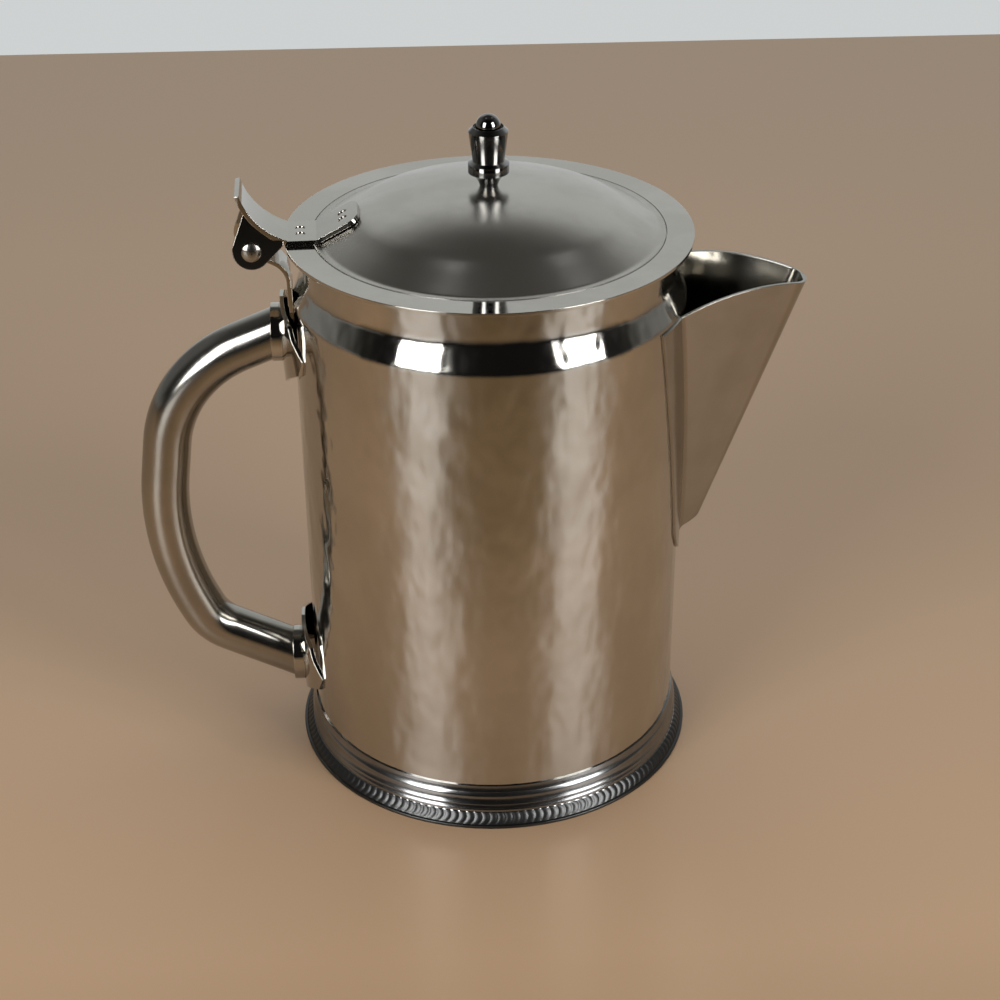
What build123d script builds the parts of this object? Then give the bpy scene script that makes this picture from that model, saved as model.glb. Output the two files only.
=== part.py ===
from build123d import *

import math
import os

# Syrup dispenser: a round pot with a gadrooned foot, a pouring spout on +X, a tube handle on -X
# and a domed lid that swings on a pin above the handle. Millimetres, +Z up, the origin on the
# surface that the pot stands on, on the pot's own axis.

# ---- driving dimensions: pot ----
body_radius = 60.0
sheet = 1.0
wall_top_z = 157.0
neck_step = 3.3
rim_z = 176.3
shoulder_slope = 22.0
shoulder_round = 3.0
shoulder_hollow = 6.0

# ---- foot ring and bottom ----
# each moulding of the foot from the top down: how far it spreads, its height, and its swell
foot_mouldings = ((0.1, 2.2, -0.15), (0.9, 2.2, 0.25), (0.1, 2.3, 0.1), (-0.4, 1.8, -0.35), (0.2, 1.4, 0.35))
foot_land = 0.4
foot_rim_height = 1.0
foot_rim_width = 0.85
foot_lip = 2.5
foot_shelf_z = 4.0
gadroon_spread = 2.75
gadroon_height = 2.6
gadroon_swell = 0.6
gadroon_count = 160
gadroon_lean = 12.0
gadroon_cutter = 2.0
gadroon_groove_depth = 0.55
pan_rim_height = 7.0
pan_round = 2.0

# ---- spout ----
spout_wall = 1.0
spout_flange = 0.8
spout_throw = 37.0
spout_tip_z = 158.5
spout_crest = 2.6
spout_foot_z = 72.4
spout_apex_z = 54.6
spout_half_angle = 25.6
spout_nose_radius = 7.4
spout_keel_round = 12.0
spout_blend = 3.0
spout_root = 10.0
spout_mouth_cut = 7.5
keel_margin = 1.0
flange_half_width = 35.9
flange_foot_z = 68.0
flange_foot_half_width = 18.0
flange_foot_round = 18.0
port_share = 0.75
port_round_share = 0.7
port_top_z = 152.0
port_foot_z = 86.0

# ---- handle and its plates ----
tube_radius = 7.6
tube_wall = 1.2
upper_mount_z = 145.3
lower_mount_z = 25.5
# corners of the tube's centre line: distance out from the pot's wall, and height
handle_top_corner = (39.0, 131.3)
handle_side_corner = (47.4, 70.5)
handle_low_corner = (33.1, 39.5)
handle_bends = (41.0, 88.0, 17.0)
upper_plate_z = 143.5
lower_plate_z = 28.0
plate_sheet = 1.2
plate_landing = 1.2
plate_standoff = 4.9
plate_half_height = 14.3
plate_half_width = 20.5
plate_crease = 5.7
plate_lean = 1.2
# the plate's outline from its top to its foot: shares of its half width and half height
plate_shares = ((0.12, 1.0), (0.7, 0.62), (1.0, 0.03), (0.88, -0.36), (0.12, -1.0))
ferrule_wall = 0.9
ferrule_proud = 2.0

# ---- lid ----
flange_overhang = 4.7
lid_sheet = 1.0
step_inset = 3.5
skirt_gap = 1.3
skirt_depth = 5.0
ledge_width = 3.6
dome_gap = 0.25
dome_fillet = 8.0
dome_edge_radius = 31.0
dome_slope = 41.3
dome_crown_angle = 22.0
dome_lip = 1.6
seat_radius = 6.6

# ---- knob ----
knob_foot_radius = 2.7
knob_collar_radius = 6.15
knob_flare_hollow = 0.7
knob_collar_z = 4.4
knob_collar_height = 2.7
knob_waist_radius = 4.8
knob_rim_radius = 5.9
knob_height = 18.3
knob_recess = 0.8
knob_bevel_land = 0.8
cap_radius = 3.7
cap_pin_radius = 1.5
cap_pin_length = 4.0
screw_radius = 2.0
screw_length = 12.0
screw_head_radius = 3.8
screw_head_height = 2.4
screw_clearance = 0.15
screw_slot_width = 1.0
washer_radius = 6.0
washer_thickness = 0.8

# ---- hinge ----
# the hinge is set round the pot's axis, a little way off the handle
hinge_turn = 2.4
pin_reach = 10.8
pin_drop = 1.3
pin_radius = 1.6
pin_running = 0.05
pin_head_radius = 2.9
pin_head_height = 1.2
knuckle_radius = 3.1
knuckle_half_width = 6.3
knuckle_side_gap = 0.2
bracket_sheet = 1.2
bracket_half_width = 6.0
bracket_foot_z = 134.0
bracket_bend_z = 164.5
bracket_bend_radius = 8.0
bracket_bend_angle = 62.0
ear_sheet = 1.3
ear_radius = 5.6
strap_sheet = 1.4
strap_inset = 1.2
strap_rise = 3.0
strap_rise_angle = 26.0
strap_curl_radius = 21.0
strap_curl_angle = 75.0
strap_tail_past = 2.0
strap_corner = 3.5
# how far the edges across the strap's ends may depart from its sheet, as a share
strap_end_play = 0.05
thumb_half_width = 4.0
ear_curl_angle = 58.0
ear_splay = 9.0
weld_pit_radius = 1.5
weld_pit_depth = 0.3
weld_pit_spacing = 4.6
weld_pit_share = 0.65

os.makedirs("parts", exist_ok=True)

# ---- sizes that follow from the driving dimensions ----
lean = math.radians(shoulder_slope)
neck_radius = body_radius - neck_step
shoulder_run = neck_step - (shoulder_round + shoulder_hollow) * (1 - math.cos(lean))
shoulder_straight = shoulder_run / math.sin(lean)

foot_inner_radius = body_radius - foot_lip
gadroon_radius = body_radius + foot_land + gadroon_spread + sum(mould[0] for mould in foot_mouldings)
foot_radius = gadroon_radius + foot_rim_width
foot_height = foot_rim_height + gadroon_height + sum(mould[1] for mould in foot_mouldings)
gadroon_slope = math.atan2(gadroon_spread, gadroon_height)

spout_reach = body_radius + spout_throw
spout_back = body_radius - spout_root

flange_radius = neck_radius + flange_overhang
step_radius = neck_radius - step_inset
lid_top_z = rim_z + lid_sheet
pin_x = -(body_radius + pin_reach)
pin_z = lid_top_z - pin_drop
ear_inner = knuckle_half_width + knuckle_side_gap
ear_outer = ear_inner + ear_sheet
ear_pivot_z = pin_z + knuckle_radius
# the ears spread downwards, so the pin's heads stand clear of their lower edges
pin_seat = ear_outer + (knuckle_radius + pin_head_radius) * math.tan(math.radians(ear_splay))

dome_foot_radius = step_radius - dome_gap
ledge_top_z = lid_top_z - lid_sheet
steep = math.radians(dome_slope)
crown = math.radians(dome_crown_angle)
dome_outer_run = dome_foot_radius - dome_lip - seat_radius
dome_edge_run = dome_edge_radius * (math.sin(steep) - math.sin(crown))
dome_crown_radius = (dome_outer_run - dome_edge_run - dome_fillet * math.sin(steep)) / math.sin(crown)
dome_rise = (
    dome_crown_radius * (1 - math.cos(crown))
    + dome_edge_radius * (math.cos(crown) - math.cos(steep))
    + dome_fillet * (1 - math.cos(steep))
)
dome_top_z = ledge_top_z + lid_sheet + dome_rise

# the arch's radius follows from its stand-off and from where its inner face lands on the wall
mount_reach = body_radius + plate_standoff
landing = plate_half_width - plate_landing
sink = mount_reach - plate_sheet - math.sqrt(body_radius**2 - landing**2)
plate_arch_radius = (landing**2 + sink**2) / (2 * sink) + plate_sheet
plate_axis_x = plate_arch_radius - mount_reach


def write_part(builder, name, turn=0.0):
    """Turn a finished piece about the pot's axis, label it and write its STEP file."""
    piece = builder.part.rotate(Axis.Z, turn)
    piece.label = name
    export_step(piece, f"parts/{name}.step")


# ---- pot ----
def pot_skin_line():
    """The pot's outer skin, from the foot shelf up to the rim, inside a BuildLine."""
    straight = Line((body_radius, foot_shelf_z), (body_radius, wall_top_z))
    bulge = JernArc(straight @ 1, (0, 1), shoulder_round, shoulder_slope)
    slant = Line(bulge @ 1, bulge @ 1 + (bulge % 1) * shoulder_straight)
    hollow = JernArc(slant @ 1, slant % 1, shoulder_hollow, -shoulder_slope)
    return Line(hollow @ 1, (neck_radius, rim_z))


def port_outline():
    """Half-widths and heights of the pouring port, well inside the spout."""
    top = spout_vee_half_width(port_top_z) * port_share
    foot = spout_vee_half_width(port_foot_z) * port_share
    return [(-top, port_top_z), (-foot, port_foot_z), (foot, port_foot_z), (top, port_top_z)]


def spout_scale(height):
    """Size of the spout's section at a height, as a share of its section at the tip."""
    return (height - spout_apex_z) / (spout_tip_z - spout_apex_z)


def spout_corner(height, inset):
    """Distance from the axis to the sharp corner of the vee, before its nose is rounded."""
    half_angle = math.radians(spout_half_angle)
    tip_corner = spout_reach + spout_nose_radius * (1 / math.sin(half_angle) - 1)
    full = body_radius + (tip_corner - body_radius) * spout_scale(height)
    return full - inset / math.sin(half_angle)


def spout_nose_x(height):
    """How far out the rounded nose of the vee reaches at a height."""
    half_angle = math.radians(spout_half_angle)
    return spout_corner(height, 0) - spout_nose_radius * spout_scale(height) * (1 / math.sin(half_angle) - 1)


def spout_vee_half_width(height):
    """Half the width of the vee where it meets the pot's wall."""
    return (spout_corner(height, spout_wall) - body_radius) * math.tan(math.radians(spout_half_angle))


with BuildPart() as pot_outside:
    with BuildSketch(Plane.XZ):
        with BuildLine():
            skin_end = pot_skin_line()
            Polyline(skin_end @ 1, (0, rim_z), (0, foot_shelf_z), (body_radius, foot_shelf_z))
        make_face()
    revolve(axis=Axis.Z)

with BuildPart() as body_shell:
    with BuildSketch(Plane.XZ):
        with BuildLine():
            pot_skin_line()
            offset(amount=sheet, side=Side.LEFT)
        make_face()
    revolve(axis=Axis.Z)
    with BuildSketch(Plane.YZ):
        with BuildLine():
            Polyline(*port_outline(), close=True)
        port_face = make_face()
        fillet(port_face.vertices(), spout_vee_half_width(port_foot_z) * port_share * port_round_share)
    extrude(amount=body_radius + sheet, mode=Mode.SUBTRACT)
write_part(body_shell, "body_shell")

with BuildPart() as bottom_pan:
    pan_radius = body_radius - sheet
    with BuildSketch(Plane.XZ):
        with BuildLine():
            FilletPolyline(
                (0, foot_shelf_z + pan_rim_height),
                (pan_radius, foot_shelf_z + pan_rim_height),
                (pan_radius, foot_shelf_z),
                radius=pan_round,
            )
            offset(amount=sheet, side=Side.RIGHT)
        make_face()
    revolve(axis=Axis.Z)
write_part(bottom_pan, "bottom_pan")


# ---- foot ring ----
def groove_place(turn):
    """Where one leaning groove of the gadrooned band lies: deepest at the ridge, shallow at its ends."""
    lift = gadroon_cutter / math.sqrt(2) + gadroon_swell - gadroon_groove_depth
    reach = gadroon_radius - gadroon_spread / 2 + lift * math.cos(gadroon_slope)
    rise = foot_rim_height + gadroon_height / 2 + lift * math.sin(gadroon_slope)
    tilt = Location((reach, 0, rise), (0, -math.degrees(gadroon_slope), 0))
    lean_over = Rotation(gadroon_lean, 0, 0) * Rotation(0, 0, 45)
    return Location((0, 0, 0), (0, 0, 360 * turn / gadroon_count)) * tilt * lean_over


with BuildPart() as base_ring:
    with BuildSketch(Plane.XZ):
        with BuildLine():
            edge = Vector(body_radius + foot_land, foot_height)
            inside = Polyline(
                edge,
                (body_radius, foot_height),
                (body_radius, foot_shelf_z),
                (foot_inner_radius, foot_shelf_z),
                (foot_inner_radius, 0),
                (foot_radius, 0),
                (foot_radius, foot_rim_height),
            )
            for spread, height, swell in foot_mouldings:
                moulding = SagittaArc(edge, edge + Vector(spread, -height), swell)
                edge = moulding @ 1
            out = Vector(math.cos(gadroon_slope), math.sin(gadroon_slope)) * gadroon_swell
            band_end = Vector(gadroon_radius, foot_rim_height)
            Polyline(edge, (edge + band_end) / 2 + out, band_end, inside @ 1)
        make_face()
    revolve(axis=Axis.Z)
    with Locations(*[groove_place(turn) for turn in range(gadroon_count)]):
        Box(gadroon_cutter, gadroon_cutter, gadroon_height * 2, mode=Mode.SUBTRACT)
write_part(base_ring, "base_ring")


# ---- spout ----
def spout_section(height, inset):
    """The spout's vee at one height, closed across its back and rounded at its nose."""
    corner = spout_corner(height, inset)
    half = (corner - spout_back) * math.tan(math.radians(spout_half_angle))
    nose = max(spout_nose_radius * spout_scale(height) - inset, spout_wall / 4)
    with BuildSketch(Plane.XY.offset(height)) as vee:
        with BuildLine():
            Polyline((spout_back, -half), (corner, 0), (spout_back, half), close=True)
        make_face()
        fillet(vee.vertices().sort_by(Axis.X)[-1], nose)
    return vee.sketch


def spout_side(inset, lift):
    """The spout seen from the side: a keel rounded at its foot, and a gently crowned rim."""
    middle = (spout_reach + body_radius) / 2
    half_run = (spout_reach - body_radius) / 2
    rim_radius = (half_run**2 + spout_crest**2) / (2 * spout_crest)
    back_run = middle - spout_back
    tip_run = half_run + keel_margin
    centre_z = spout_tip_z + spout_crest + lift - rim_radius
    keel_foot = (spout_nose_x(spout_foot_z) + keel_margin - inset, spout_foot_z + inset)
    with BuildSketch(Plane.XZ) as side:
        with BuildLine():
            rim = ThreePointArc(
                (spout_back, centre_z + math.sqrt(rim_radius**2 - back_run**2)),
                (middle, centre_z + rim_radius),
                (middle + tip_run, centre_z + math.sqrt(rim_radius**2 - tip_run**2)),
            )
            Polyline(rim @ 1, keel_foot, (spout_back, keel_foot[1]), rim @ 0)
        make_face()
        fillet(side.vertices().group_by(Axis.Y)[0].sort_by(Axis.X)[-1], spout_keel_round - inset)
    return side.sketch


def spout_form(inset, lift):
    """The spout's closed form, inset from its outside, inside a BuildPart."""
    top = spout_tip_z + spout_crest + lift
    loft([spout_section(spout_foot_z, inset), spout_section(top, inset)], ruled=True)
    extrude(spout_side(inset, lift), amount=body_radius, both=True, mode=Mode.INTERSECT)


with BuildPart() as spout_core:
    spout_form(spout_wall, spout_mouth_cut)

with BuildPart() as spout_flange_sheet:
    with BuildSketch(Plane.XY.offset(flange_foot_z)):
        Circle(body_radius + spout_flange)
        Circle(body_radius, mode=Mode.SUBTRACT)
    extrude(amount=wall_top_z - flange_foot_z)
    with BuildSketch(Plane.YZ) as vee_outline:
        with BuildLine():
            Polyline(
                (-flange_half_width, wall_top_z),
                (-flange_foot_half_width, flange_foot_z),
                (flange_foot_half_width, flange_foot_z),
                (flange_half_width, wall_top_z),
                close=True,
            )
        make_face()
        fillet(vee_outline.vertices().group_by(Axis.Y)[0], flange_foot_round)
    extrude(amount=body_radius + spout_wall * 2, mode=Mode.INTERSECT)

with BuildPart() as spout:
    spout_form(0, 0)
    add(spout_flange_sheet.part)
    skin = body_radius + spout_flange / 2
    joint = spout.edges(Select.NEW).filter_by(lambda edge: math.hypot((edge @ 0.5).X, (edge @ 0.5).Y) > skin)
    fillet(joint.filter_by(lambda edge: (edge @ 0.5).Z < wall_top_z - spout_flange), spout_blend)
    add(spout_core.part, mode=Mode.SUBTRACT)
    add(pot_outside.part, mode=Mode.SUBTRACT)
write_part(spout, "spout")


# ---- handle ----
def handle_line():
    """The tube's bent centre line, run a little way into both plates."""
    corners = (handle_top_corner, handle_side_corner, handle_low_corner)
    top, side, low = ((-body_radius - reach, height) for reach, height in corners)
    upper = (-mount_reach, upper_mount_z)
    lower = (-mount_reach, lower_mount_z)
    FilletPolyline(
        run_on(top, upper, plate_standoff), top, side, low, run_on(low, lower, plate_standoff),
        radius=list(handle_bends),
    )


def run_on(start, end, length):
    """The point a length past end, on the line from start to end."""
    dx, dz = end[0] - start[0], end[1] - start[1]
    run = math.hypot(dx, dz)
    return (end[0] + dx / run * length, end[1] + dz / run * length)


def arch_block(centre_z, inset):
    """The arched form that a handle plate is pressed to, filled in to its own axis."""
    crown = plate_arch_radius - inset
    low = centre_z - plate_half_height - plate_sheet
    high = centre_z + plate_half_height + plate_sheet
    with BuildPart() as block:
        with BuildSketch(Plane.XZ):
            with BuildLine():
                Polyline(
                    (plate_axis_x, low),
                    (plate_axis_x - crown + plate_lean, low),
                    (plate_axis_x - crown, centre_z + plate_crease),
                    (plate_axis_x - crown + plate_lean, high),
                    (plate_axis_x, high),
                    close=True,
                )
            make_face()
        revolve(axis=Axis((plate_axis_x, 0, 0), (0, 0, 1)))
    return block.part


def handle_plate(centre_z):
    """A pressed plate, pointed above and below, that spreads the handle's pull over the wall."""
    with BuildPart() as plate:
        add(arch_block(centre_z, 0))
        add(arch_block(centre_z, plate_sheet), mode=Mode.SUBTRACT)
        right = [(plate_half_width * y, centre_z + plate_half_height * z) for y, z in plate_shares]
        with BuildSketch(Plane.YZ.offset(-mount_reach - plate_sheet)):
            with BuildLine():
                Polyline(*right, *[(-y, z) for y, z in reversed(right)], close=True)
            make_face()
        extrude(amount=plate_standoff + body_radius / 4, mode=Mode.INTERSECT)
        add(pot_outside.part, mode=Mode.SUBTRACT)
    return plate


upper_block = arch_block(upper_plate_z, 0)
lower_block = arch_block(lower_plate_z, 0)

with BuildPart() as handle_rod:
    with BuildLine(Plane.XZ) as rod_line:
        handle_line()
    with BuildSketch(rod_line.line ^ 0):
        Circle(tube_radius)
    sweep(path=rod_line.wire())

with BuildPart() as handle_tube:
    with BuildLine(Plane.XZ) as tube_line:
        handle_line()
    with BuildSketch(tube_line.line ^ 0):
        Circle(tube_radius)
        Circle(tube_radius - tube_wall, mode=Mode.SUBTRACT)
    sweep(path=tube_line.wire())
    add(upper_block, mode=Mode.SUBTRACT)
    add(lower_block, mode=Mode.SUBTRACT)
write_part(handle_tube, "handle_tube")


def ferrule(corner, mount_z, block):
    """An oval collar that covers the joint between the tube and its plate."""
    run = corner[0] - plate_standoff
    slant = (corner[1] - mount_z) / run
    stretch = math.hypot(run, corner[1] - mount_z) / run
    with BuildPart() as collar:
        with BuildSketch(Plane.YZ.offset(-mount_reach - ferrule_proud)):
            with Locations((0, mount_z + slant * ferrule_proud / 2)):
                Ellipse(tube_radius + ferrule_wall, tube_radius * stretch + ferrule_wall)
        extrude(amount=ferrule_proud + plate_standoff)
        add(block, mode=Mode.SUBTRACT)
        add(handle_rod.part, mode=Mode.SUBTRACT)
    return collar


upper_plate = handle_plate(upper_plate_z)
lower_plate = handle_plate(lower_plate_z)
upper_ferrule = ferrule(handle_top_corner, upper_mount_z, upper_block)
lower_ferrule = ferrule(handle_low_corner, lower_mount_z, lower_block)
write_part(upper_plate, "upper_handle_plate")
write_part(lower_plate, "lower_handle_plate")
write_part(upper_ferrule, "upper_ferrule")
write_part(lower_ferrule, "lower_ferrule")

# ---- hinge ----
pin_line = Axis((pin_x, 0, pin_z), (0, 1, 0))

with BuildPart() as hinge_bracket:
    with BuildSketch(Plane.XY.offset(bracket_foot_z)):
        Circle(body_radius + bracket_sheet)
        Circle(body_radius, mode=Mode.SUBTRACT)
        with Locations((-body_radius, 0)):
            Rectangle(body_radius / 2, bracket_half_width * 2, mode=Mode.INTERSECT)
    extrude(amount=wall_top_z - bracket_foot_z + bracket_half_width)
    with BuildSketch(Plane.XZ):
        with BuildLine():
            upright = Line((-body_radius, wall_top_z), (-body_radius, bracket_bend_z))
            bend = JernArc(upright @ 1, (0, 1), bracket_bend_radius, bracket_bend_angle)
            reach = Vector(pin_x, pin_z) - bend @ 1
            Line(bend @ 1, bend @ 1 + (bend % 1) * reach.dot(bend % 1))
            offset(amount=bracket_sheet, side=Side.LEFT)
        make_face()
    extrude(amount=bracket_half_width, both=True)
    with BuildSketch(Plane.XZ):
        with Locations((pin_x, pin_z)):
            Circle(knuckle_radius)
    extrude(amount=knuckle_half_width, both=True)
    with BuildSketch(Plane.XZ):
        with Locations((pin_x, pin_z)):
            Circle(pin_radius + pin_running)
    extrude(amount=knuckle_half_width, both=True, mode=Mode.SUBTRACT)
write_part(hinge_bracket, "hinge_bracket", hinge_turn)

with BuildPart() as hinge_pin:
    with BuildSketch(Plane(origin=(pin_x, 0, pin_z), x_dir=(0, 1, 0), z_dir=(1, 0, 0))):
        with BuildLine():
            head_edge = (pin_seat + pin_head_height / 4, pin_head_radius)
            cap_arc = TangentArc((pin_seat + pin_head_height, 0), head_edge, tangent=(0, 1))
            Polyline(
                cap_arc @ 1,
                (pin_seat, pin_head_radius),
                (pin_seat, pin_radius),
                (0, pin_radius),
                (0, 0),
                cap_arc @ 0,
            )
        make_face()
    revolve(axis=pin_line)
    mirror(about=Plane.XZ)
write_part(hinge_pin, "hinge_pin", hinge_turn)

# ---- lid ----
with BuildPart() as lid_flange:
    skirt_radius = neck_radius - sheet - skirt_gap
    ledge_radius = step_radius - ledge_width
    with BuildSketch(Plane.XZ):
        with BuildLine():
            Polyline(
                (flange_radius, lid_top_z),
                (step_radius, lid_top_z),
                (step_radius, rim_z),
                (ledge_radius, rim_z),
                (ledge_radius, rim_z - lid_sheet),
                (skirt_radius - lid_sheet, rim_z - lid_sheet),
                (skirt_radius - lid_sheet, rim_z - skirt_depth),
                (skirt_radius, rim_z - skirt_depth),
                (skirt_radius, rim_z),
                (flange_radius, rim_z),
                close=True,
            )
        make_face()
    revolve(axis=Axis.Z)
write_part(lid_flange, "lid_flange")

with BuildPart() as lid_dome:
    with BuildSketch(Plane.XZ):
        with BuildLine():
            seat = Line((screw_radius + screw_clearance, dome_top_z), (seat_radius, dome_top_z))
            crown_arc = JernArc(seat @ 1, (1, 0), dome_crown_radius, -dome_crown_angle)
            edge_arc = JernArc(
                crown_arc @ 1, crown_arc % 1, dome_edge_radius, dome_crown_angle - dome_slope
            )
            foot_arc = JernArc(edge_arc @ 1, edge_arc % 1, dome_fillet, dome_slope)
            Line(foot_arc @ 1, (dome_foot_radius, lid_top_z))
            offset(amount=lid_sheet, side=Side.RIGHT)
        make_face()
    revolve(axis=Axis.Z)
write_part(lid_dome, "lid_dome")

# the strap's tail leans on the dome, so it lies on a tangent from the lid's lip to the dome's edge
edge_centre_r = seat_radius + (dome_crown_radius - dome_edge_radius) * math.sin(crown)
edge_centre_z = dome_top_z - dome_crown_radius + (dome_crown_radius - dome_edge_radius) * math.cos(crown)
strap_bend_r = dome_foot_radius - dome_lip
bend_run = strap_bend_r - edge_centre_r
bend_rise = lid_top_z - edge_centre_z
bend_distance = math.hypot(bend_run, bend_rise)
tail_slope = math.asin(dome_edge_radius / bend_distance) - math.atan2(bend_rise, bend_run)
tail_length = math.sqrt(bend_distance**2 - dome_edge_radius**2) + strap_tail_past


def strap_rise_line():
    """The strap's underside from the lid's edge to the end of the thumb, inside a BuildLine."""
    rise = math.radians(strap_rise_angle)
    start = Vector(strap_inset - flange_radius, lid_top_z)
    straight = Line(start, start + Vector(-math.cos(rise), math.sin(rise)) * strap_rise)
    turn = strap_rise_angle - strap_curl_angle
    return straight, JernArc(straight @ 1, straight % 1, strap_curl_radius + strap_sheet, turn)


def under_strap(lift):
    """The space below the strap's underside, raised by a lift, beside the lid."""
    with BuildSketch(Plane.XZ) as space:
        with BuildLine():
            straight, curl = strap_rise_line()
            low = pin_z - ear_radius * 2
            Polyline(
                curl @ 1,
                (pin_x - ear_radius * 4, (curl @ 1).Y),
                (pin_x - ear_radius * 4, low),
                ((straight @ 0).X, low),
                straight @ 0,
            )
        make_face()
    return space.sketch.moved(Location((0, 0, lift)))


def strap_plan():
    """The strap seen from above: straight as far as the ears, narrower at the thumb."""
    thumb_x = pin_x - strap_curl_radius
    with BuildSketch() as plan:
        with BuildLine():
            right = [(0, ear_outer), (pin_x - ear_radius / 2, ear_outer), (thumb_x, thumb_half_width)]
            Polyline(*right, *[(x, -y) for x, y in reversed(right)], close=True)
        make_face()
    return plan.sketch


def ear_shape():
    """One ear seen from the side: round about the pin, spread out to meet the strap's underside."""
    with BuildLine():
        curl = strap_rise_line()[1]
    top = curl @ ((ear_curl_angle - strap_rise_angle) / (strap_curl_angle - strap_rise_angle))
    with BuildSketch(Plane.XZ) as ear:
        with BuildLine():
            CenterArc((pin_x, pin_z), ear_radius, 0, 360)
            Line(top, top + Vector(0, strap_sheet))
            Line((-flange_radius, lid_top_z), (-flange_radius, lid_top_z + strap_sheet))
        make_hull()
        add(under_strap(strap_sheet / 2), mode=Mode.INTERSECT)
    return ear.sketch


def splayed_ear(side):
    """One ear, flat, hung from above the knuckle and turned so that its lower edge stands out."""
    with BuildPart() as ear:
        middle = Location((0, side * (ear_inner + ear_sheet / 2), 0))
        extrude(ear_shape().moved(middle), amount=ear_sheet / 2, both=True)
    return ear.part.rotate(Axis((0, side * ear_inner, ear_pivot_z), (1, 0, 0)), side * ear_splay)


with BuildPart() as hinge_strap:
    tail_top = (
        -strap_bend_r + tail_length * math.cos(tail_slope),
        lid_top_z + tail_length * math.sin(tail_slope),
    )
    with BuildSketch(Plane.XZ):
        with BuildLine():
            slant = Line(tail_top, (-strap_bend_r, lid_top_z))
            Line(slant @ 1, (strap_inset - flange_radius, lid_top_z))
            strap_rise_line()
            offset(amount=strap_sheet, side=Side.RIGHT)
        make_face()
    extrude(amount=ear_outer, both=True)
    extrude(strap_plan(), amount=rim_z * 2, mode=Mode.INTERSECT)
    ends = hinge_strap.edges().filter_by(
        lambda edge: math.isclose(edge.length, strap_sheet, rel_tol=strap_end_play)
    )
    fillet(ends, strap_corner)
    for side in (-1, 1):
        add(splayed_ear(side))
    extrude(under_strap(0), amount=ear_inner, both=True, mode=Mode.SUBTRACT)
    with BuildSketch(Plane.XZ):
        with Locations((pin_x, pin_z)):
            Circle(pin_radius)
    extrude(amount=pin_seat, both=True, mode=Mode.SUBTRACT)
    tail_run = tail_length * weld_pit_share
    weld_spots = (
        (-(strap_bend_r + flange_radius) / 2, lid_top_z, 0),
        (
            -strap_bend_r + tail_run * math.cos(tail_slope),
            lid_top_z + tail_run * math.sin(tail_slope),
            tail_slope,
        ),
    )
    for spot_x, spot_z, slope in weld_spots:
        up = Vector(-math.sin(slope), 0, math.cos(slope))
        spot_top = Vector(spot_x, 0, spot_z) + up * strap_sheet
        with BuildSketch(Plane(origin=spot_top, x_dir=(0, 1, 0), z_dir=up)):
            with GridLocations(weld_pit_spacing, 0, 2, 1):
                Circle(weld_pit_radius)
        extrude(amount=-weld_pit_depth, mode=Mode.SUBTRACT)
write_part(hinge_strap, "hinge_strap", hinge_turn)

# ---- knob ----
with BuildPart() as knob:
    foot_z = dome_top_z
    collar_top = knob_collar_z + knob_collar_height
    bevel = knob_rim_radius - cap_radius - knob_bevel_land
    with BuildSketch(Plane.XZ):
        with BuildLine():
            flare = SagittaArc(
                (knob_foot_radius, foot_z), (knob_collar_radius, foot_z + knob_collar_z), knob_flare_hollow
            )
            Polyline(
                flare @ 1,
                (knob_collar_radius, foot_z + collar_top),
                (knob_waist_radius, foot_z + collar_top + knob_bevel_land),
                (knob_rim_radius, foot_z + knob_height - bevel),
                (cap_radius + knob_bevel_land, foot_z + knob_height),
                (cap_radius + knob_bevel_land, foot_z + knob_height - knob_recess),
                (0, foot_z + knob_height - knob_recess),
                (0, foot_z),
                flare @ 0,
            )
        make_face()
    revolve(axis=Axis.Z)
    screw_reach = screw_length - lid_sheet - washer_thickness
    with BuildSketch(Plane.XY.offset(foot_z)):
        Circle(screw_radius)
    extrude(amount=screw_reach + screw_clearance, mode=Mode.SUBTRACT)
    with BuildSketch(Plane.XY.offset(foot_z + knob_height - knob_recess)):
        Circle(cap_pin_radius)
    extrude(amount=-cap_pin_length, mode=Mode.SUBTRACT)
write_part(knob, "knob")

with BuildPart() as knob_cap:
    cap_z = foot_z + knob_height - knob_recess
    with BuildSketch(Plane.XZ):
        with BuildLine():
            Polyline((0, cap_z), (cap_radius, cap_z), (cap_radius, cap_z + knob_recess))
            JernArc((cap_radius, cap_z + knob_recess), (0, 1), cap_radius, 90)
            Line((0, cap_z + knob_recess + cap_radius), (0, cap_z))
        make_face()
    revolve(axis=Axis.Z)
    with BuildSketch(Plane.XY.offset(cap_z)):
        Circle(cap_pin_radius)
    extrude(amount=-cap_pin_length)
write_part(knob_cap, "knob_cap")

with BuildPart() as knob_washer:
    with BuildSketch(Plane.XY.offset(dome_top_z - lid_sheet)):
        Circle(washer_radius)
        Circle(screw_radius + screw_clearance, mode=Mode.SUBTRACT)
    extrude(amount=-washer_thickness)
write_part(knob_washer, "knob_washer")

with BuildPart() as knob_screw:
    head_z = dome_top_z - lid_sheet - washer_thickness
    with BuildSketch(Plane.XY.offset(head_z)):
        Circle(screw_radius)
    extrude(amount=screw_length)
    with BuildSketch(Plane.XY.offset(head_z)):
        Circle(screw_head_radius)
    extrude(amount=-screw_head_height)
    fillet(knob_screw.faces().sort_by(Axis.Z)[0].edges(), screw_head_height / 2)
    with BuildSketch(Plane.XY.offset(head_z - screw_head_height)):
        Rectangle(screw_head_radius * 3, screw_slot_width)
    extrude(amount=screw_head_height / 2, mode=Mode.SUBTRACT)
write_part(knob_screw, "knob_screw")
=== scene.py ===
import math

import bpy
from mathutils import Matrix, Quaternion, Vector


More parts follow.
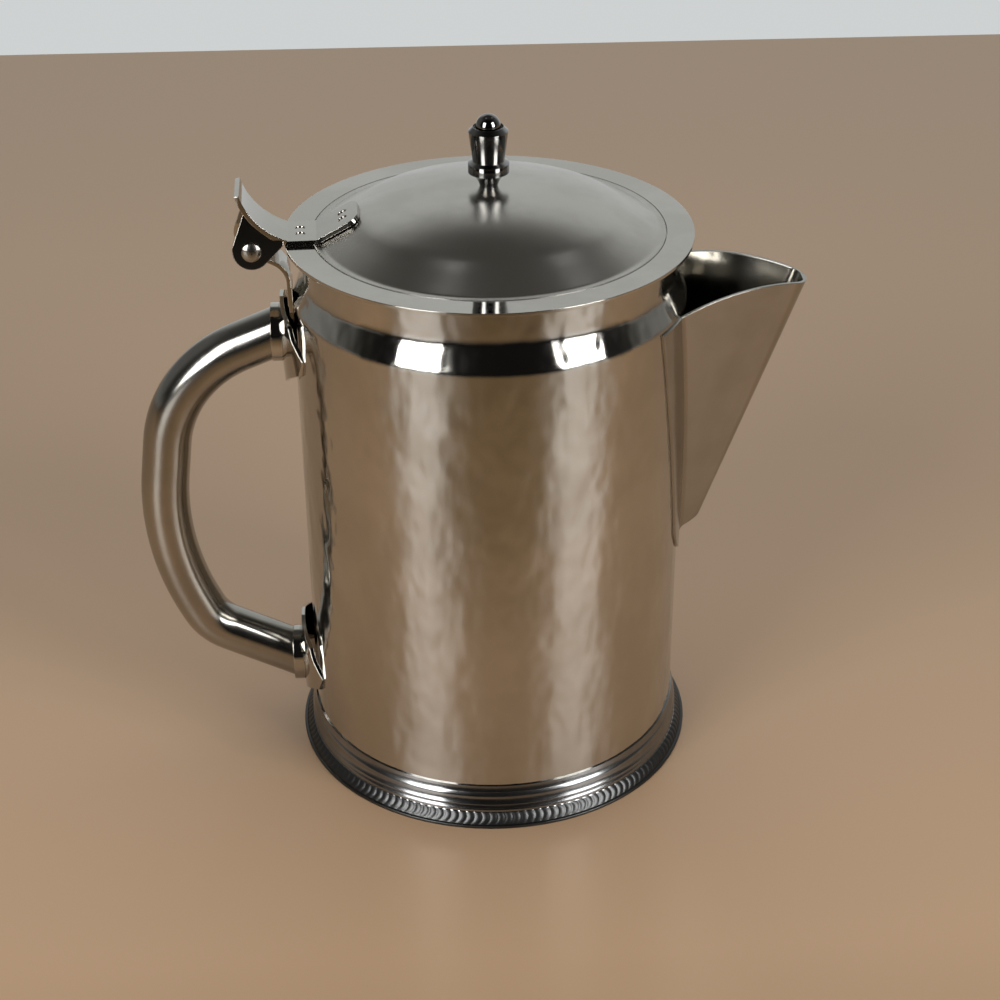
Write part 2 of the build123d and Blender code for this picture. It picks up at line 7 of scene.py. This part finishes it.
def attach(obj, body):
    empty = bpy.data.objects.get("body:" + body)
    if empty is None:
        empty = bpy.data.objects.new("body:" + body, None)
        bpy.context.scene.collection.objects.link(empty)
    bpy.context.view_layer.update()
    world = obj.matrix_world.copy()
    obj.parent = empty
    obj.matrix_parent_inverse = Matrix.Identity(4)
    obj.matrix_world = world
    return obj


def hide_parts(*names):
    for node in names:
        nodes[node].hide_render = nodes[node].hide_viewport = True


# Syrup dispenser: steel for the CAD pieces, a finer foot ring and dome, and the table, the room and
# the lamps round them. Lengths are in metres unless a line says otherwise. X runs towards the
# spout, Y away from the camera and Z up.
MM = 0.001

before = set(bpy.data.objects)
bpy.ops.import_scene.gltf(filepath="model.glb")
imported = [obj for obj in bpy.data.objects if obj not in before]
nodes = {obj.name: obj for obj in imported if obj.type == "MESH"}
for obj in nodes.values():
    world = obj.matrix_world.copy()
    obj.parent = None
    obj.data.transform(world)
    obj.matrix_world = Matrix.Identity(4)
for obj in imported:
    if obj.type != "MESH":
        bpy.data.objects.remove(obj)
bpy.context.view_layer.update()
scene = bpy.context.scene
scene.view_settings.view_transform = "Standard"

# ---- camera: the photograph's, its turn as a quaternion, its lens and sensor in millimetres ----
CAMERA_PLACE = (-0.021934, -0.546109, 0.401832)
CAMERA_TURN = (0.866932, 0.497821, -0.009335, -0.022720)
CAMERA_LENS = 70.32
SENSOR_WIDTH = 36.0
CAMERA_CLIP = (0.01, 60.0)

camera_data = bpy.data.cameras.new("camera")
camera_data.lens = CAMERA_LENS
camera_data.sensor_width = SENSOR_WIDTH
camera_data.clip_start, camera_data.clip_end = CAMERA_CLIP
camera = bpy.data.objects.new("camera", camera_data)
camera.location = CAMERA_PLACE
camera.rotation_mode = "QUATERNION"
camera.rotation_quaternion = Quaternion(CAMERA_TURN)
scene.collection.objects.link(camera)
scene.camera = camera

# ---- shader helpers ----
# between these a noise's values mostly lie
NOISE_LOW = 0.35
NOISE_HIGH = 0.65
BEVEL_SAMPLES = 6


def blank_material(name):
    """A new material with its node tree, its Principled shader and its object coordinates."""
    material = bpy.data.materials.new(name)
    material.use_nodes = True
    tree = material.node_tree
    shader = tree.nodes["Principled BSDF"]
    place = tree.nodes.new("ShaderNodeTexCoord")
    return material, tree, shader, place.outputs["Object"]


def stretched(tree, coordinates, scale):
    """Coordinates scaled by an amount along each axis."""
    mapping = tree.nodes.new("ShaderNodeMapping")
    mapping.inputs["Scale"].default_value = scale
    tree.links.new(coordinates, mapping.inputs["Vector"])
    return mapping.outputs["Vector"]


def noise(tree, coordinates, scale, detail, roughness=0.5):
    """A noise value with features about 1/scale metres across."""
    texture = tree.nodes.new("ShaderNodeTexNoise")
    texture.inputs["Scale"].default_value = scale
    texture.inputs["Detail"].default_value = detail
    texture.inputs["Roughness"].default_value = roughness
    tree.links.new(coordinates, texture.inputs["Vector"])
    return texture.outputs["Fac"]


def spread(tree, value, low, high, start=NOISE_LOW, end=NOISE_HIGH):
    """A value that eases from low to high as the one given goes from start to end."""
    node = tree.nodes.new("ShaderNodeMapRange")
    node.interpolation_type = "SMOOTHSTEP"
    node.inputs["From Min"].default_value = start
    node.inputs["From Max"].default_value = end
    node.inputs["To Min"].default_value = low
    node.inputs["To Max"].default_value = high
    tree.links.new(value, node.inputs["Value"])
    return node.outputs["Result"]


def blended(tree, factor, first, second):
    """A colour between two colours."""
    node = tree.nodes.new("ShaderNodeMix")
    node.data_type = "RGBA"
    node.inputs["A"].default_value = (*first, 1.0)
    node.inputs["B"].default_value = (*second, 1.0)
    tree.links.new(factor, node.inputs["Factor"])
    return node.outputs["Result"]


def bumped(tree, edge, heights):
    """The normal of edges eased by a radius, then bumped by a chain of (value, height) pairs."""
    eased = tree.nodes.new("ShaderNodeBevel")
    eased.samples = BEVEL_SAMPLES
    eased.inputs["Radius"].default_value = edge
    normal = eased.outputs["Normal"]
    for value, height in heights:
        node = tree.nodes.new("ShaderNodeBump")
        node.inputs["Distance"].default_value = height
        tree.links.new(value, node.inputs["Height"])
        tree.links.new(normal, node.inputs["Normal"])
        normal = node.outputs["Normal"]
    return normal


# ---- steels: smudged gloss, waves and ripples in the sheet, and fine polishing lines ----
SMUDGES = {"scale": 38.0, "detail": 4.0, "roughness": 0.6}
WAVES = {"scale": 55.0, "detail": 1.0}
RIPPLES = {"scale": 150.0, "detail": 1.0}
POLISH_LINES = {"scale": 900.0, "detail": 3.0, "roughness": 0.7}
# how far each is stretched along X, Y and Z: the smaller the number, the longer its features
WAVE_SHAPE = (1.0, 1.0, 0.45)
RIPPLE_SHAPE = (1.0, 1.0, 0.6)
UPRIGHT_LINES = (1.0, 1.0, 0.06)
EVEN = (1.0, 1.0, 1.0)
# the two tones between which each steel is smudged
STEEL = ((0.530, 0.511, 0.470), (0.480, 0.461, 0.420))
# the two darker tones are shaded copies of the one steel: painted shade that dims the reflections
# on the spout, handle, pin, knob and foot
SHADED_STEEL = ((0.390, 0.376, 0.342), (0.340, 0.326, 0.294))
DEEP_SHADED_STEEL = ((0.290, 0.292, 0.290), (0.220, 0.222, 0.220))
# each steel's tones, its roughness at either tone, the radius that eases its edges, the heights of
# its waves, ripples and polishing lines, both in millimetres, and the shape of those lines
STEELS = {
    "mirror_steel": (STEEL, (0.05, 0.09), 0.3, (0.10, 0.02, 0.0004), UPRIGHT_LINES),
    "body_steel": (STEEL, (0.06, 0.11), 1.4, (0.70, 0.40, 0.0012), UPRIGHT_LINES),
    "spout_steel": (SHADED_STEEL, (0.13, 0.18), 0.4, (0.20, 0.06, 0.0030), UPRIGHT_LINES),
    "brushed_steel": (SHADED_STEEL, (0.14, 0.20), 0.3, (0.10, 0.02, 0.0020), UPRIGHT_LINES),
    "knob_steel": (DEEP_SHADED_STEEL, (0.04, 0.07), 0.2, (0.04, 0.01, 0.0004), UPRIGHT_LINES),
    "satin_steel": (STEEL, (0.22, 0.27), 1.0, (0.10, 0.02, 0.0010), EVEN),
    "foot_steel": (DEEP_SHADED_STEEL, (0.14, 0.20), 0.1, (0.10, 0.02, 0.0010), EVEN),
    "pin_steel": (SHADED_STEEL, (0.16, 0.22), 0.1, (0.10, 0.02, 0.0010), EVEN),
}
# the colour of the painted shade on the foot's skirt, and the skirt's roughness there
SKIRT_SHADE_COLOUR = (0.070, 0.071, 0.070)
SKIRT_ROUGHNESS = 0.32
# the foot's skirt is darkened with painted shade and dulled below this height, and the painted
# shade fades out over this much
SKIRT_SHADE_TOP = 0.0041
SKIRT_SHADE_FADE = 0.0002


def steel(name, tones, roughness, edge, heights, line_shape):
    """A polished stainless steel, from a row of the table of steels."""
    material, tree, shader, place = blank_material(name)
    smudge = noise(tree, place, **SMUDGES)
    waves = noise(tree, stretched(tree, place, WAVE_SHAPE), **WAVES)
    ripples = noise(tree, stretched(tree, place, RIPPLE_SHAPE), **RIPPLES)
    lines = noise(tree, stretched(tree, place, line_shape), **POLISH_LINES)
    relief = zip((waves, ripples, lines), (height * MM for height in heights))
    colour = blended(tree, spread(tree, smudge, 0.0, 1.0), *tones)
    shader.inputs["Metallic"].default_value = 1.0
    tree.links.new(colour, shader.inputs["Base Color"])
    tree.links.new(spread(tree, smudge, *roughness), shader.inputs["Roughness"])
    tree.links.new(bumped(tree, edge * MM, relief), shader.inputs["Normal"])
    return material


def paint_skirt_shade(material):
    """Paint shade into the material's colour on the foot's skirt, and make it dull there."""
    tree = material.node_tree
    shader = tree.nodes["Principled BSDF"]
    place = tree.nodes.new("ShaderNodeTexCoord")
    split = tree.nodes.new("ShaderNodeSeparateXYZ")
    tree.links.new(place.outputs["Object"], split.inputs["Vector"])
    below = spread(tree, split.outputs["Z"], 1.0, 0.0, SKIRT_SHADE_TOP - SKIRT_SHADE_FADE, SKIRT_SHADE_TOP)
    # painted shade: the colour goes to a dark grey on the skirt below its top
    shaded = blended(tree, below, SKIRT_SHADE_COLOUR, SKIRT_SHADE_COLOUR)
    tree.links.new(shader.inputs["Base Color"].links[0].from_socket, shaded.node.inputs["A"])
    tree.links.new(shaded, shader.inputs["Base Color"])
    roughened = tree.nodes.new("ShaderNodeMix")
    roughened.inputs["B"].default_value = SKIRT_ROUGHNESS
    tree.links.new(below, roughened.inputs["Factor"])
    tree.links.new(shader.inputs["Roughness"].links[0].from_socket, roughened.inputs["A"])
    tree.links.new(roughened.outputs["Result"], shader.inputs["Roughness"])


steels = {name: steel(name, *row) for name, row in STEELS.items()}
paint_skirt_shade(steels["foot_steel"])

FINISHES = {
    "body_shell": "body_steel",
    "bottom_pan": "satin_steel",
    "base_ring": "mirror_steel",
    "spout": "spout_steel",
    "handle_tube": "brushed_steel",
    "upper_ferrule": "mirror_steel",
    "lower_ferrule": "mirror_steel",
    "upper_handle_plate": "mirror_steel",
    "lower_handle_plate": "mirror_steel",
    "hinge_bracket": "mirror_steel",
    "lid_flange": "mirror_steel",
    "lid_dome": "satin_steel",
    "hinge_strap": "mirror_steel",
    "hinge_pin": "pin_steel",
    "knob": "knob_steel",
    "knob_cap": "knob_steel",
    "knob_washer": "satin_steel",
    "knob_screw": "satin_steel",
}
for name, finish in FINISHES.items():
    nodes[name].data.materials.clear()
    nodes[name].data.materials.append(steels[finish])

# ---- turned meshes ----
SHARP_ANGLE = math.radians(50.0)


def turned(name, sections, finish):
    """A mesh that goes once round Z through sections of (radius, height) points, in millimetres."""
    rounds, count = len(sections), len(sections[0])
    places = []
    for index, section in enumerate(sections):
        angle = math.tau * index / rounds
        for radius, height in section:
            r, z = radius * MM, height * MM
            places.append((r * math.cos(angle), r * math.sin(angle), z))
    faces = []
    for index in range(rounds):
        near, far = index * count, (index + 1) % rounds * count
        for this in range(count):
            after = (this + 1) % count
            faces.append((near + this, near + after, far + after, far + this))
    mesh = bpy.data.meshes.new(name)
    mesh.from_pydata(places, [], faces)
    mesh.polygons.foreach_set("use_smooth", [True] * len(mesh.polygons))
    mesh.set_sharp_from_angle(angle=SHARP_ANGLE)
    piece = bpy.data.objects.new(name, mesh)
    scene.collection.objects.link(piece)
    piece.data.materials.append(finish)
    return piece


# ---- foot ring: the CAD node's size, with undercut mouldings and bowed lobes, in millimetres ----
FOOT_TOP = 13.5
FOOT_SHELF = 4.0
FOOT_INSIDE = 57.5
FOOT_WALL = 60.0
FOOT_EDGE = 60.4
# each moulding from the top down: how far it spreads and drops, how far its face stands off its
# chord, and how far the undercut below it goes in and down
FOOT_STEPS = (
    (0.70, 1.9, -0.05, 0.50, 0.25),
    (0.95, 2.0, 0.16, 0.60, 0.25),
    (0.85, 1.9, -0.06, 0.55, 0.25),
    (0.55, 1.3, -0.04, 0.60, 0.20),
    (0.45, 1.2, 0.12, 0.05, 0.0),
)
FACE_STEPS = 6
# the gadrooned skirt ends at this radius and height, stands this far off its chord, and raises its
# lobes at this angle above the level
SKIRT_FOOT = (64.05, 1.0)
SKIRT_SWELL = 0.20
SKIRT_TILT = math.radians(46.0)
SKIRT_STEPS = 14
FOOT_RIM_WIDTH = 0.85
FOOT_RIM_EASE = 0.15
LOBES = 160
LOBE_STEPS = 8
LOBE_HEIGHT = 0.22
# how far a lobe leans and bows on its way down the skirt, as shares of its width
LOBE_LEAN = 0.25
LOBE_BOW = 0.45
# the powers that shape a lobe's height down the skirt and across itself, and how much of it is sunk
LOBE_TAPER = 0.4
LOBE_CROWN = 0.7
LOBE_SINK = 0.75


def arc(start, end, sagitta, count):
    """Points after start, as far as end, on a shallow curve that stands off its chord."""
    run, drop = end[0] - start[0], end[1] - start[1]
    length = math.hypot(run, drop)
    points = []
    for step in range(1, count + 1):
        along = step / count
        off = sagitta * 4 * along * (1 - along)
        radius = start[0] + run * along - drop / length * off
        height = start[1] + drop * along + run / length * off
        points.append((radius, height))
    return points


def foot_outline():
    """(radius, height, share of the way down the skirt), from the ring's top edge and round it."""
    points = [(FOOT_EDGE, FOOT_TOP)]
    for spread_by, drop, bulge, undercut, undercut_drop in FOOT_STEPS:
        edge = points[-1]
        ridge = (edge[0] + spread_by, edge[1] - drop)
        points += arc(edge, ridge, bulge, FACE_STEPS)
        points.append((ridge[0] - undercut, ridge[1] - undercut_drop))
    outline = [(r, z, 0.0) for r, z in points]
    skirt = arc(points[-1], SKIRT_FOOT, SKIRT_SWELL, SKIRT_STEPS)
    outline += [(r, z, (step + 1) / SKIRT_STEPS) for step, (r, z) in enumerate(skirt)]
    rim = skirt[-1]
    outer = rim[0] + FOOT_RIM_WIDTH
    rest = (
        (outer - FOOT_RIM_EASE, rim[1]),
        (outer, rim[1] - FOOT_RIM_EASE),
        (outer, FOOT_RIM_EASE),
        (outer - FOOT_RIM_EASE, 0.0),
        (FOOT_INSIDE, 0.0),
        (FOOT_INSIDE, FOOT_SHELF),
        (FOOT_WALL, FOOT_SHELF),
        (FOOT_WALL, FOOT_TOP),
    )
    return outline + [(r, z, 0.0) for r, z in rest]


def lobe_lift(index, share):
    """How proud a lobe stands at a step round the ring and a share of the way down the skirt."""
    if not 0.0 < share < 1.0:
        return 0.0
    bow = 4 * share * (1 - share)
    phase = (index / LOBE_STEPS + LOBE_LEAN * share - LOBE_BOW * bow) % 1.0
    crown = math.sin(math.pi * phase) ** LOBE_CROWN
    return LOBE_HEIGHT * bow**LOBE_TAPER * (crown - LOBE_SINK)


def lobed(outline, index):
    """The outline with its lobes raised along the skirt's tilt, at a step round the ring."""
    out_r, out_z = math.cos(SKIRT_TILT), math.sin(SKIRT_TILT)
    lifts = [lobe_lift(index, share) for _, _, share in outline]
    return [(r + lift * out_r, z + lift * out_z) for (r, z, _), lift in zip(outline, lifts)]


ring = foot_outline()
foot_sections = [lobed(ring, index) for index in range(LOBES * LOBE_STEPS)]
foot = turned("gadrooned_foot", foot_sections, steels["foot_steel"])
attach(foot, "pot")
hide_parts("base_ring")

# ---- dome: the CAD node's crown with a straight flank and a crease at its lip, in millimetres ----
LID_PLANE = 177.3
DOME_TOP = 190.696
DOME_BORE = 2.15
DOME_SEAT = 6.6
SEAT_INSET = 1.0
DOME_SHEET = 1.0
CROWN_RADIUS = 81.746
CROWN_ANGLE = math.radians(22.0)
CROWN_STEPS = 18
EDGE_RADIUS = 31.0
EDGE_STEPS = 5
FLANK_SLOPE = math.radians(28.5)
# where the flank's points lie along it; it sinks this much by the first and then runs straight
FLANK_SHARES = (0.15, 0.4, 0.7, 0.9, 0.96, 1.0)
FLANK_SINK = 0.12
LIP_RADIUS = 51.35
DOME_RADIUS = 52.95
CREASE = 0.35
DOME_ROUNDS = 256


def swung(centre, radius, start, end, count):
    """Points after the start of an arc, as far as its end, by turns measured from straight up."""
    turns = [start + (end - start) * step / count for step in range(1, count + 1)]
    return [
        (centre[0] + radius * math.sin(turn), centre[1] + radius * math.cos(turn))
        for turn in turns
    ]


def dome_outline():
    """(radius, height) down the dome's outside and back up its inside."""
    top = [(DOME_BORE, DOME_TOP), (DOME_SEAT - SEAT_INSET, DOME_TOP), (DOME_SEAT, DOME_TOP)]
    centre = (DOME_SEAT, DOME_TOP - CROWN_RADIUS)
    top += swung(centre, CROWN_RADIUS, 0.0, CROWN_ANGLE, CROWN_STEPS)
    inward = CROWN_RADIUS - EDGE_RADIUS
    centre = (
        centre[0] + inward * math.sin(CROWN_ANGLE),
        centre[1] + inward * math.cos(CROWN_ANGLE),
    )
    top += swung(centre, EDGE_RADIUS, CROWN_ANGLE, FLANK_SLOPE, EDGE_STEPS)
    start = top[-1]
    run = LIP_RADIUS - CREASE - start[0]
    drop = run * math.tan(FLANK_SLOPE)
    for share in FLANK_SHARES:
        sunk = FLANK_SINK * min(1.0, share / FLANK_SHARES[0])
        top.append((start[0] + run * share, start[1] - drop * share - sunk))
    top += [(LIP_RADIUS, LID_PLANE), (LIP_RADIUS + CREASE, LID_PLANE), (DOME_RADIUS, LID_PLANE)]
    return top + [(r, z - DOME_SHEET) for r, z in reversed(top)]


dome = turned("creased_dome", [dome_outline()] * DOME_ROUNDS, steels["satin_steel"])
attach(dome, "lid")
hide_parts("lid_dome")

# ---- floor: a table that ends before the far wall, with painted shade on the near side round a painted pool of light ----
FLOOR_SIDE = 4.0
FLOOR_NEAR = -4.0
FLOOR_FAR = 0.754
FLOOR_ROUGHNESS = 0.42
FLOOR_IOR = 1.6
# Y and the colour there: painted shade that deepens towards the near side and a little towards the
# far side, round a painted pool of light at Y = -0.12
FLOOR_PAINTED_SHADE_TONES = (
    (-1.60, (0.014, 0.011, 0.008)),
    (-1.00, (0.030, 0.020, 0.011)),
    (-0.50, (0.108, 0.066, 0.029)),
    (-0.24, (0.212, 0.134, 0.067)),
    (-0.12, (0.345, 0.222, 0.130)),
    (0.10, (0.285, 0.192, 0.118)),
    (0.60, (0.262, 0.178, 0.110)),
)

floor_material, floor_tree, floor_shader, floor_place = blank_material("floor")
floor_split = floor_tree.nodes.new("ShaderNodeSeparateXYZ")
floor_tree.links.new(floor_place, floor_split.inputs["Vector"])
tones_start, tones_end = FLOOR_PAINTED_SHADE_TONES[0][0], FLOOR_PAINTED_SHADE_TONES[-1][0]
floor_share = spread(floor_tree, floor_split.outputs["Y"], 0.0, 1.0, tones_start, tones_end)
floor_share.node.interpolation_type = "LINEAR"
# the floor's colour by Y carries the painted shade and the painted pool of light
floor_painted_shade = floor_tree.nodes.new("ShaderNodeValToRGB")
for y, _ in FLOOR_PAINTED_SHADE_TONES[1:-1]:
    floor_painted_shade.color_ramp.elements.new((y - tones_start) / (tones_end - tones_start))
for stop, (_, tone) in zip(floor_painted_shade.color_ramp.elements, FLOOR_PAINTED_SHADE_TONES):
    stop.color = (*tone, 1.0)
floor_tree.links.new(floor_share, floor_painted_shade.inputs["Fac"])
floor_tree.links.new(floor_painted_shade.outputs["Color"], floor_shader.inputs["Base Color"])
floor_shader.inputs["Roughness"].default_value = FLOOR_ROUGHNESS
floor_shader.inputs["IOR"].default_value = FLOOR_IOR

floor_corners = (
    (-FLOOR_SIDE, FLOOR_NEAR, 0.0),
    (FLOOR_SIDE, FLOOR_NEAR, 0.0),
    (FLOOR_SIDE, FLOOR_FAR, 0.0),
    (-FLOOR_SIDE, FLOOR_FAR, 0.0),
)
floor_mesh = bpy.data.meshes.new("floor")
floor_mesh.from_pydata(floor_corners, [], [(0, 1, 2, 3)])
floor = bpy.data.objects.new("floor", floor_mesh)
scene.collection.objects.link(floor)
floor.data.materials.append(floor_material)

# ---- room: by direction, pale walls on the far side, dark overhead, darker on the near side ----
ROOM_COLOUR = (0.009, 0.0085, 0.008)
OVERHEAD_COLOUR = (0.066, 0.063, 0.056)
# the near side gives way to the overhead between these two Y
OVERHEAD_START = (-0.40, 0.05)
# each wall: its colour, the Y between which it comes in and the Z between which it fades out
SIDE_WALL = ((0.17, 0.17, 0.165), (-0.20, 0.25), (0.55, 0.85))
LOW_WALL = ((0.25, 0.25, 0.24), (-0.45, -0.10), (-0.02, 0.08))
FAR_WALL = ((0.620, 0.640, 0.640), (0.35, 0.80), (0.60, 0.82))
# the far wall comes in between these two X
FAR_WALL_START = (-0.62, -0.27)
# two small lights overhead: their directions, their colour and how far from its middle each fades
OVERHEAD_LIGHTS = ((-0.236, 0.100, 0.967), (0.450, 0.250, 0.857))
OVERHEAD_LIGHT = (0.80, 0.83, 0.88)
OVERHEAD_FADE = (0.02, 0.12)

world = bpy.data.worlds.new("room")
world.use_nodes = True
scene.world = world
room = world.node_tree
direction = room.nodes.new("ShaderNodeTexCoord").outputs["Generated"]
axes = room.nodes.new("ShaderNodeSeparateXYZ")
room.links.new(direction, axes.inputs["Vector"])


def rising(value, limits):
    """From 0 at one limit of a value to 1 at the other."""
    return spread(room, value, 0.0, 1.0, *limits)


def falling(value, limits):
    """From 1 at one limit of a value to 0 at the other."""
    return spread(room, value, 1.0, 0.0, *limits)


def both(first, second):
    """The product of two values."""
    product = room.nodes.new("ShaderNodeMath")
    product.operation = "MULTIPLY"
    room.links.new(first, product.inputs[0])
    room.links.new(second, product.inputs[1])
    return product.outputs["Value"]


def over(under, factor, colour):
    """A colour laid over another by a factor."""
    laid = blended(room, factor, colour, colour)
    room.links.new(under, laid.node.inputs["A"])
    return laid


def walled(under, wall, within=None):
    """A wall laid over a colour, and only within a factor where one is given."""
    colour, across, heights = wall
    factor = both(rising(axes.outputs["Y"], across), falling(axes.outputs["Z"], heights))
    if within is not None:
        factor = both(factor, within)
    return over(under, factor, colour)


overhead = rising(axes.outputs["Y"], OVERHEAD_START)
tone = blended(room, overhead, ROOM_COLOUR, OVERHEAD_COLOUR)
tone = walled(tone, SIDE_WALL)
tone = walled(tone, LOW_WALL)
tone = walled(tone, FAR_WALL, rising(axes.outputs["X"], FAR_WALL_START))
for middle in OVERHEAD_LIGHTS:
    away = room.nodes.new("ShaderNodeVectorMath")
    away.operation = "DISTANCE"
    away.inputs[1].default_value = middle
    room.links.new(direction, away.inputs[0])
    tone = over(tone, falling(away.outputs["Value"], OVERHEAD_FADE), OVERHEAD_LIGHT)
room.links.new(tone, room.nodes["Background"].inputs["Color"])

# ---- lamps: two windows on the near side and a ceiling, with their angles in degrees ----
WINDOW_AZIMUTHS = {"window_left": -42.0, "window_right": 49.0}


def softbox(name, azimuth, elevation, distance, width, height, radiance):
    """A rectangular lamp that faces the pot, from the camera's side turned towards the spout's."""
    lamp = bpy.data.lights.new(name, "AREA")
    lamp.shape = "RECTANGLE"
    lamp.size = width
    lamp.size_y = height
    lamp.energy = radiance * width * height * math.pi
    turn, lift = math.radians(azimuth), math.radians(elevation)
    outward = Vector(
        (math.sin(turn) * math.cos(lift), -math.cos(turn) * math.cos(lift), math.sin(lift))
    )
    holder = bpy.data.objects.new(name, lamp)
    holder.location = outward * distance
    holder.rotation_mode = "QUATERNION"
    holder.rotation_quaternion = outward.to_track_quat("Z", "Y")
    holder.visible_camera = False
    scene.collection.objects.link(holder)
    return holder


for name, azimuth in WINDOW_AZIMUTHS.items():
    softbox(name, azimuth, elevation=27.0, distance=2.2, width=0.85, height=1.5, radiance=8.5)
ceiling = softbox(
    "ceiling", azimuth=180.0, elevation=75.0, distance=2.4, width=3.0, height=3.0, radiance=1.6
)
ceiling.visible_glossy = False
